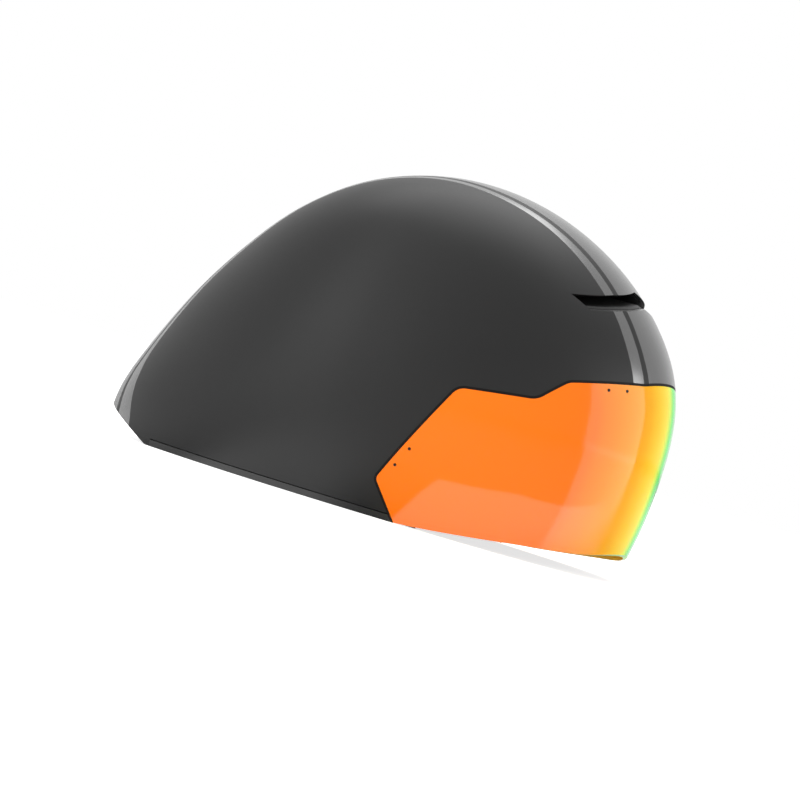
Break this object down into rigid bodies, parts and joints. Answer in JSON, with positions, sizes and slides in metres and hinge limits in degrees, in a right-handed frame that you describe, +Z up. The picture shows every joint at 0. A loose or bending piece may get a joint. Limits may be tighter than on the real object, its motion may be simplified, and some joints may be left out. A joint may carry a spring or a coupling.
{
  "type": "aero time trial helmet",
  "caption": "Teardrop cycling helmet with full ear cover, magnet-held mirror visor, front air slot, foam liner, rear dial fit cradle and chin strap with magnetic buckle.",
  "frame": {"origin": "centre of the bounding box on the plane that the lower rim rests on", "axes": "+X forward, the way the wearer faces; +Y the wearer's left; +Z up"},
  "size_m": [0.3326, 0.1982, 0.2],
  "materials": {
    "shell_paint": "satin",
    "rim_plastic": "satin",
    "liner_foam": "matte",
    "black_plastic": "satin",
    "seal_rubber": "matte",
    "visor_mirror": "gloss",
    "bright_steel": "satin",
    "rivet_steel": "satin",
    "pad_fabric": "matte",
    "webbing": "matte",
    "lace": "satin"
  },
  "bodies": {
    "helmet": {"arm_plugs": "black_plastic", "arm_screws": "rivet_steel", "brow_pad": "pad_fabric", "buckle_female": "black_plastic", "buckle_magnet": "bright_steel", "chin_pad": "pad_fabric", "eps_crown": "liner_foam", "eps_left_side": "liner_foam", "eps_right_side": "liner_foam", "eps_tail": "liner_foam", "frame_magnets": "bright_steel", "intake_duct": "black_plastic", "left_chin_strap": "webbing", "left_cradle_arm": "black_plastic", "left_crown_pad": "pad_fabric", "left_divider": "black_plastic", "left_front_strap": "webbing", "left_lever_pin": "bright_steel", "left_rear_strap": "webbing", "left_side_pad": "pad_fabric", "left_strap_keeper": "seal_rubber", "lower_rim": "rim_plastic", "outer_shell": "shell_paint", "right_chin_strap": "webbing", "right_cradle_arm": "black_plastic", "right_crown_pad": "pad_fabric", "right_divider": "black_plastic", "right_front_strap": "webbing", "right_lever_pin": "bright_steel", "right_rear_strap": "webbing", "right_side_pad": "pad_fabric", "right_strap_keeper": "seal_rubber", "strap_anchors": "black_plastic", "tail_floor": "rim_plastic", "visor_frame": "black_plastic", "visor_gasket": "seal_rubber"},
    "visor": {"visor_lens": "visor_mirror", "visor_magnet_holders": "black_plastic", "visor_magnets": "bright_steel", "visor_rivets": "rivet_steel"},
    "cradle": {"cradle_yoke": "black_plastic", "fit_lace": "lace", "dial_base": "black_plastic", "click_spring": "bright_steel", "dial_screw": "bright_steel", "occipital_pads": "pad_fabric"},
    "dial": {"dial_knob": "black_plastic", "dial_grip": "seal_rubber", "lace_spool": "black_plastic"},
    "left_lever": {"left_lever": "black_plastic"},
    "right_lever": {"right_lever": "black_plastic"},
    "buckle_male": {"buckle_male": "black_plastic"}
  },
  "joints": [
    {"name": "visor_pull", "type": "slide", "parent": "helmet", "child": "visor", "axis": [1, 0, 0], "range_m": [0, 0.06]},
    {"name": "fit_slide", "type": "slide", "parent": "helmet", "child": "cradle", "axis": [1, 0, 0], "range_m": [0, 0.008]},
    {"name": "dial_turn", "type": "hinge", "parent": "cradle", "child": "dial", "pos_m": [-0.09, 0, 0.032], "axis": [1, 0, 0], "range_deg": [0, 360]},
    {"name": "left_lever_swing", "type": "hinge", "parent": "helmet", "child": "left_lever", "pos_m": [-0.001, 0.0467, 0.0095], "axis": [0, 0, -1], "range_deg": [0, 60]},
    {"name": "right_lever_swing", "type": "hinge", "parent": "helmet", "child": "right_lever", "pos_m": [-0.001, -0.0467, 0.0095], "axis": [0, 0, 1], "range_deg": [0, 60]},
    {"name": "buckle_release", "type": "slide", "parent": "helmet", "child": "buckle_male", "axis": [1, 0, 0], "range_m": [0, 0.018]}
  ],
  "couplings": [
    {"joint": "dial_turn", "follows": "fit_slide", "rad_per_m": 785}
  ]
}
